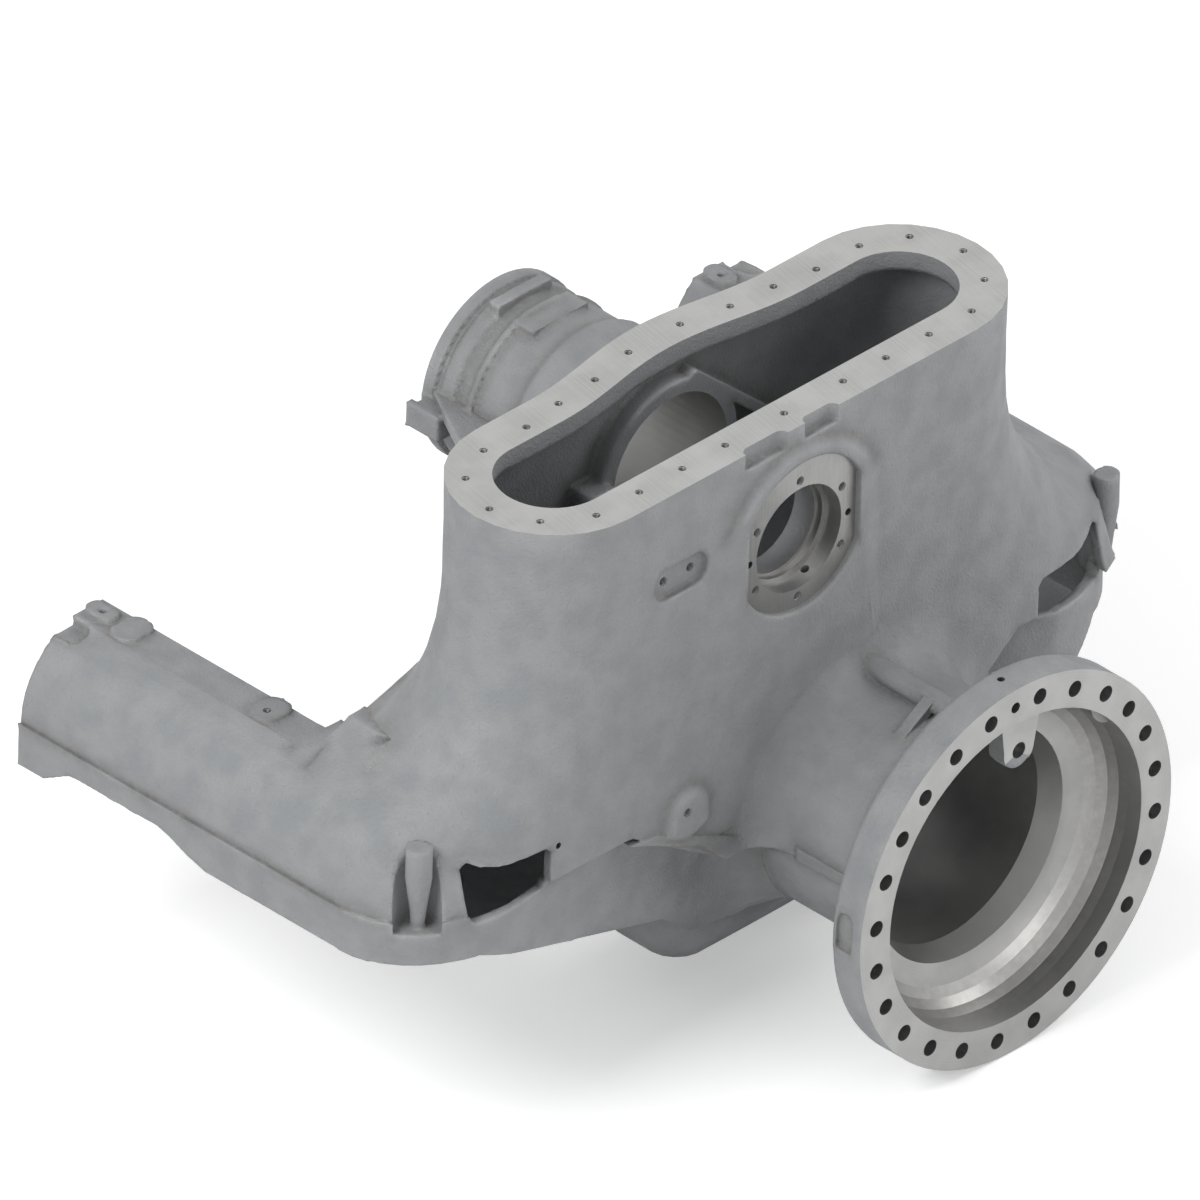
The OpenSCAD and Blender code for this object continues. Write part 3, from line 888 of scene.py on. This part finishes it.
    def _relax(self, work: bmesh.types.BMesh) -> None:
        """Rounds the facets of the lofted skin, then the cast edges, with machined edges held fast.

        Args:
            work: the mesh.
        """
        ends = self._ends(work)
        start = np.array([v.co for v in work.verts], dtype=np.float64)
        outward = np.array([v.normal for v in work.verts], dtype=np.float64)
        corners = np.array([[v.index for v in f.verts] for f in work.faces], dtype=np.int64)
        machined, creased, rims = self._kinds(work)
        at = self._smoothed(start, ends, ~creased & ~machined)
        at = self._sunk(at, outward, ends, rims & ~machined)
        at = self._mended(at, start, corners)
        at = np.clip(at, start.min(axis=0), start.max(axis=0))
        for vertex, place in zip(work.verts, at):
            vertex.co = place
        for edge in work.edges:
            edge.smooth = edge.smooth or self._is_cast_edge(edge)
        for face in work.faces:
            face.smooth = True

    def _kinds(self, work: bmesh.types.BMesh) -> np.ndarray:
        """Sorts the vertices by what they lie on.

        Args:
            work: the mesh, with its vertices numbered.

        Returns:
            Three rows of truth values: on a machined face, on a crease, on a crease between
            as-cast faces.
        """
        machined, creased, rims = kinds = np.zeros((3, len(work.verts)), dtype=bool)
        for face in work.faces:
            if face.material_index != Surface.CAST.value:
                machined[[v.index for v in face.verts]] = True
        for edge in work.edges:
            if not edge.smooth:
                pair = [v.index for v in edge.verts]
                creased[pair] = True
                rims[pair] |= self._is_cast_edge(edge)
        return kinds

    def _smoothed(self, start: np.ndarray, ends: np.ndarray, free: np.ndarray) -> np.ndarray:
        """Rounds the facets of the skin.

        Args:
            start: vertex places.
            ends: the two vertices of each edge.
            free: which vertices may move.

        Returns:
            The new places.
        """
        at = start.copy()
        for _ in range(self.smoothing):
            at[free] += HALF_WAY * (self._around(at, ends) - at)[free]
        return self._held(at, start, self.skin_cap_mm * MM)

    def _sunk(self, at: np.ndarray, outward: np.ndarray, ends: np.ndarray,
              bent: np.ndarray) -> np.ndarray:
        """Draws the cast edges in along their normals, to an even depth along each edge.

        Args:
            at: vertex places.
            outward: vertex normals.
            ends: the two vertices of each edge.
            bent: which vertices lie on a cast edge.

        Returns:
            The new places.
        """
        depth = ((self._around(at, ends) - at) * outward).sum(axis=1)
        sink = outward * (depth * self.rounding)[:, None]
        sink[~bent] = 0.0
        along = ends[bent[ends[:, 0]] & bent[ends[:, 1]]]
        for _ in range(self.evening):
            sink[bent] += HALF_WAY * (self._around(sink, along) - sink)[bent]
        return self._held(at + sink, at, self.edge_cap_mm * MM)

    def _mended(self, at: np.ndarray, start: np.ndarray, corners: np.ndarray) -> np.ndarray:
        """Pulls triangles that have turned too far back towards where they started.

        Args:
            at: vertex places, which this changes.
            start: the places before.
            corners: three vertex numbers for each triangle.

        Returns:
            The places.
        """
        true_normal = self._normals(start, corners)
        for _ in range(self.mending):
            turn = (self._normals(at, corners) * true_normal).sum(axis=1)
            back = np.unique(corners[turn < self.turn_limit])
            if not len(back):
                break
            at[back] = (1.0 - self.mending_pull) * at[back] + self.mending_pull * start[back]
        return at

    @staticmethod
    def _ends(work: bmesh.types.BMesh) -> np.ndarray:
        """Numbers the vertices and lists the two of each edge."""
        work.verts.index_update()
        return np.array([[v.index for v in e.verts] for e in work.edges], dtype=np.int64)

    @staticmethod
    def _normals(at: np.ndarray, corners: np.ndarray) -> np.ndarray:
        """Unit normals of triangles.

        Args:
            at: vertex places.
            corners: three vertex numbers for each triangle.

        Returns:
            One normal for each triangle.
        """
        first, second, third = (at[corners[:, i]] for i in range(3))
        cross = np.cross(second - first, third - first)
        return cross / np.maximum(np.linalg.norm(cross, axis=1), 1e-16)[:, None]

    @staticmethod
    def _around(values: np.ndarray, ends: np.ndarray) -> np.ndarray:
        """Mean of each vertex's neighbours, or its own value where it has none.

        Args:
            values: one vector for each vertex.
            ends: the two vertices of each edge that joins neighbours.

        Returns:
            One mean vector for each vertex.
        """
        count = len(values)
        total = np.zeros_like(values)
        for axis in range(values.shape[1]):
            total[:, axis] = (np.bincount(ends[:, 0], values[ends[:, 1], axis], count)
                              + np.bincount(ends[:, 1], values[ends[:, 0], axis], count))
        degree = np.bincount(ends.ravel(), minlength=count)
        alone = degree == 0
        total[alone] = values[alone]
        return total / np.maximum(degree, 1)[:, None]

    @staticmethod
    def _held(at: np.ndarray, start: np.ndarray, cap: float) -> np.ndarray:
        """Keeps each vertex within a distance of where it started.

        Args:
            at: the new places.
            start: the places before.
            cap: the distance.

        Returns:
            The places, held back where they had gone too far.
        """
        moved = at - start
        reach = np.linalg.norm(moved, axis=1)
        return start + moved * np.minimum(1.0, cap / np.maximum(reach, 1e-9))[:, None]


@dataclass
class TappedThreads:
    """Thread turns inside the tapped holes, laid out by a Geometry Nodes tree.

    Attributes:
        pitch_mm: distance from one turn to the next.
        sides: sides of one turn.
        tooth_sides: sides of the thread's profile.
        tooth_share: radius of the profile as a share of the pitch.
    """

    pitch_mm: float = 1.5
    sides: int = 20
    tooth_sides: int = 4
    tooth_share: float = 0.42

    def _tree(self) -> bpy.types.NodeTree:
        """Builds the tree: a profile swept round each hole, copied down the hole by the pitch.

        Returns:
            The node tree, with Radius, Pitch, Turns, Tilt and Metal as inputs.
        """
        tree = bpy.data.node_groups.new("thread_turns", "GeometryNodeTree")
        for name, kind, value in (
            ("Geometry", "Geometry", None),
            ("Radius", "Float", 0.004),
            ("Pitch", "Float", 0.0015),
            ("Turns", "Int", 12),
            ("Tilt", "Vector", UPRIGHT),
            ("Metal", "Material", None),
        ):
            socket(tree, name, kind, "INPUT", value)
        socket(tree, "Geometry", "Geometry", "OUTPUT")
        n = Nodes(tree)
        given = n.add("NodeGroupInput").outputs
        ring = n.add("GeometryNodeCurvePrimitiveCircle",
                     {"Resolution": self.sides, "Radius": given["Radius"]})
        tooth_radius = n.math("MULTIPLY", given["Pitch"], self.tooth_share)
        tooth = n.add("GeometryNodeCurvePrimitiveCircle",
                      {"Resolution": self.tooth_sides, "Radius": tooth_radius})
        sweep = n.add("GeometryNodeCurveToMesh",
                      {"Curve": ring.outputs["Curve"], "Profile Curve": tooth.outputs["Curve"]})
        step = n.add("ShaderNodeCombineXYZ", {2: n.math("MULTIPLY", given["Pitch"], -1.0)})
        line = n.add("GeometryNodeMeshLine", {"Count": given["Turns"], "Offset": step.outputs[0]})
        stack = n.add("GeometryNodeInstanceOnPoints",
                      {"Points": line.outputs["Mesh"], "Instance": sweep.outputs["Mesh"]})
        turn = n.add("FunctionNodeEulerToRotation", {0: given["Tilt"]})
        holes = n.add("GeometryNodeInstanceOnPoints",
                      {"Points": given["Geometry"], "Instance": stack.outputs["Instances"],
                       "Rotation": turn.outputs[0]})
        real = n.add("GeometryNodeRealizeInstances", {0: holes.outputs["Instances"]})
        paint = n.add("GeometryNodeSetMaterial",
                      {"Geometry": real.outputs[0], "Material": given["Metal"]})
        n.add("NodeGroupOutput", {0: paint.outputs[0]})
        return tree

    def build(self, row: ThreadedRow, metal: bpy.types.Material) -> bpy.types.Object:
        """Runs the tree on a row of hole mouths and keeps the result as a mesh.

        Args:
            row: the holes.
            metal: the thread's material.

        Returns:
            The finished piece.
        """
        seeds = bpy.data.meshes.new(row.name + "_mouths")
        first_turn = Matrix.Rotation(row.tilt[1], 3, "Y") @ Vector((0, 0, -self.pitch_mm))
        seeds.from_pydata([(Vector(p) + first_turn) * MM for p in row.mouths], [], [])
        maker = put_in_scene(row.name + "_maker", seeds)
        modifier = maker.modifiers.new("threads", "NODES")
        modifier.node_group = bpy.data.node_groups.get("thread_turns") or self._tree()
        values = {"Radius": row.radius * MM, "Pitch": self.pitch_mm * MM,
                  "Turns": int(row.depth / self.pitch_mm) - 1, "Tilt": row.tilt, "Metal": metal}
        for item in modifier.node_group.interface.items_tree:
            if item.in_out == "INPUT" and item.name in values:
                modifier[item.identifier] = values[item.name]
        maker.update_tag()
        bpy.context.view_layer.update()
        shown = maker.evaluated_get(bpy.context.evaluated_depsgraph_get())
        mesh = bpy.data.meshes.new_from_object(shown)
        bpy.data.objects.remove(maker)
        LOG.info("%s: %d faces", row.name, len(mesh.polygons))
        return put_in_scene(row.name, mesh)


@dataclass(frozen=True)
class Lamp:
    """A soft square lamp: its name, place and side in metres, and power in watts."""

    name: str
    place: Point
    side: float
    power: float


@dataclass
class Studio:
    """Pale floor, soft lamps and the camera of the drawing.

    Attributes:
        floor_z: height of the floor, just under the ring's lowest point.
        floor_size: its side.
        floor_colour: its colour.
        floor_glow: light that the camera alone sees it give, so that it shows as white.
        frame_mm: side of the square that the camera shows.
        right: direction in the row frame that the drawing shows as right.
        up: direction that it shows as up.
        origin_px: pixel of the drawing at which the row's origin lies.
        stand_off: distance of the camera.
        camera_reach: how far the camera sees.
        aim: point at which the lamps look.
        hung: the lamps.
        sky: strength of the surrounding light.
        sky_seen: what is added to it for the camera, glass and metal, so that it shows as white.
    """

    floor_z: float = -0.2206
    floor_size: float = 14.0
    floor_colour: Colour = (0.93, 0.93, 0.93, 1.0)
    floor_glow: float = 0.32
    frame_mm: float = 1200.0
    right: Point = (0.7071, 0.7068, 0.0200)
    up: Point = (-0.4082, 0.3850, 0.8277)
    origin_px: tuple[float, float] = (1015.65, 870.0)
    stand_off: float = 3.2
    camera_reach: float = 60.0
    aim: Point = (-0.35, -0.09, 0.1)
    hung: tuple[Lamp, ...] = (
        Lamp("key", (-0.5, -2.7, 2.6), 1.3, 66.0),
        Lamp("fill", (2.8, 0.3, 1.2), 1.8, 20.0),
        Lamp("back", (1.0, 2.8, 2.2), 1.5, 30.0),
    )
    sky: float = 0.55
    sky_seen: float = 0.45

    def camera(self) -> None:
        """Places the camera so that one pixel of the drawing is one millimetre."""
        right = Vector(self.right).normalized()
        up = Vector(self.up)
        up = (up - right * up.dot(right)).normalized()
        back = right.cross(up)
        half = self.frame_mm / 2
        across, above = half - self.origin_px[0], self.origin_px[1] - half
        pose = Matrix((right, up, back)).transposed().to_4x4()
        pose.translation = right * across * MM + up * above * MM + back * self.stand_off
        lens = bpy.data.cameras.new("drawing_view")
        lens.type = "ORTHO"
        lens.ortho_scale = self.frame_mm * MM
        lens.clip_end = self.camera_reach
        eye = put_in_scene("drawing_view", lens)
        eye.matrix_world = pose
        bpy.context.scene.camera = eye

    def floor(self) -> bpy.types.Object:
        """Lays the floor under the ring's lowest point.

        Returns:
            The floor.
        """
        s = self.floor_size / 2
        outline = ((-s, -s), (s, -s), (s, s), (-s, s))
        mesh = bpy.data.meshes.new("floor")
        mesh.from_pydata([(x, y, self.floor_z) for x, y in outline], [], [(0, 1, 2, 3)])
        material, n, bsdf = new_material("pale_floor")
        seen = n.add("ShaderNodeLightPath").outputs["Is Camera Ray"]
        n.fill(bsdf, {
            "Base Color": self.floor_colour,
            "Roughness": 0.9,
            "Specular IOR Level": 0.1,
            "Emission Color": WHITE,
            "Emission Strength": n.math("MULTIPLY", seen, self.floor_glow),
        })
        mesh.materials.append(material)
        return put_in_scene("floor", mesh)

    def lamps(self) -> None:
        """Hangs the soft lamps round the part."""
        for lamp in self.hung:
            light = bpy.data.lights.new(lamp.name, "AREA")
            light.size = lamp.side
            light.energy = lamp.power
            made = put_in_scene(lamp.name, light)
            made.location = lamp.place
            look = Vector(self.aim) - Vector(lamp.place)
            made.rotation_euler = look.to_track_quat("-Z", "Y").to_euler()

    def world(self) -> None:
        """Sets an even pale surrounding light."""
        world = bpy.data.worlds.new("studio")
        world.use_nodes = True
        n = Nodes(world.node_tree)
        ray = n.add("ShaderNodeLightPath").outputs
        seen = n.math("MAXIMUM", ray["Is Camera Ray"], ray["Is Transmission Ray"])
        seen = n.math("MAXIMUM", seen, ray["Is Glossy Ray"])
        strength = n.math("ADD", n.math("MULTIPLY", seen, self.sky_seen), self.sky)
        n.fill(world.node_tree.nodes["Background"], {"Color": WHITE, "Strength": strength})
        bpy.context.scene.world = world


def main() -> None:
    """Builds every piece in order."""
    logging.basicConfig(level=logging.INFO, format="%(name)s: %(message)s")
    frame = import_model()
    bpy.context.scene.view_settings.view_transform = "Standard"

    studio = Studio()
    studio.camera()
    studio.floor()
    studio.lamps()
    studio.world()

    finishes = {
        Surface.CAST: CastIron(),
        Surface.TURNED: Machined("turned_iron", turned_about=(0.0, 0.0), pitch=1100.0),
        Surface.BORED: Machined("bored_iron", turned_about=INPUT_AXIS, pitch=1100.0),
        Surface.MILLED: Machined("milled_iron", pitch=420.0),
        Surface.DRILLED: Machined("drilled_iron", pitch=1400.0, tint=(0.42, 0.42, 0.42, 1.0),
                                  dark=(0.25, 0.25, 0.25, 1.0)),
    }
    groups = ShaderGroups()
    materials = {surface: finish.build(groups) for surface, finish in finishes.items()}

    casting = HousingCasting()
    piece = casting.build(frame["nodes"][casting.node], materials)
    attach(piece, "root")
    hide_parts(casting.node)

    threads = TappedThreads()
    for row in HoleMap().threaded():
        thread = threads.build(row, materials[Surface.DRILLED])
        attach(thread, "root")

    LOG.info("sizes written")


if __name__ == "__main__":
    main()
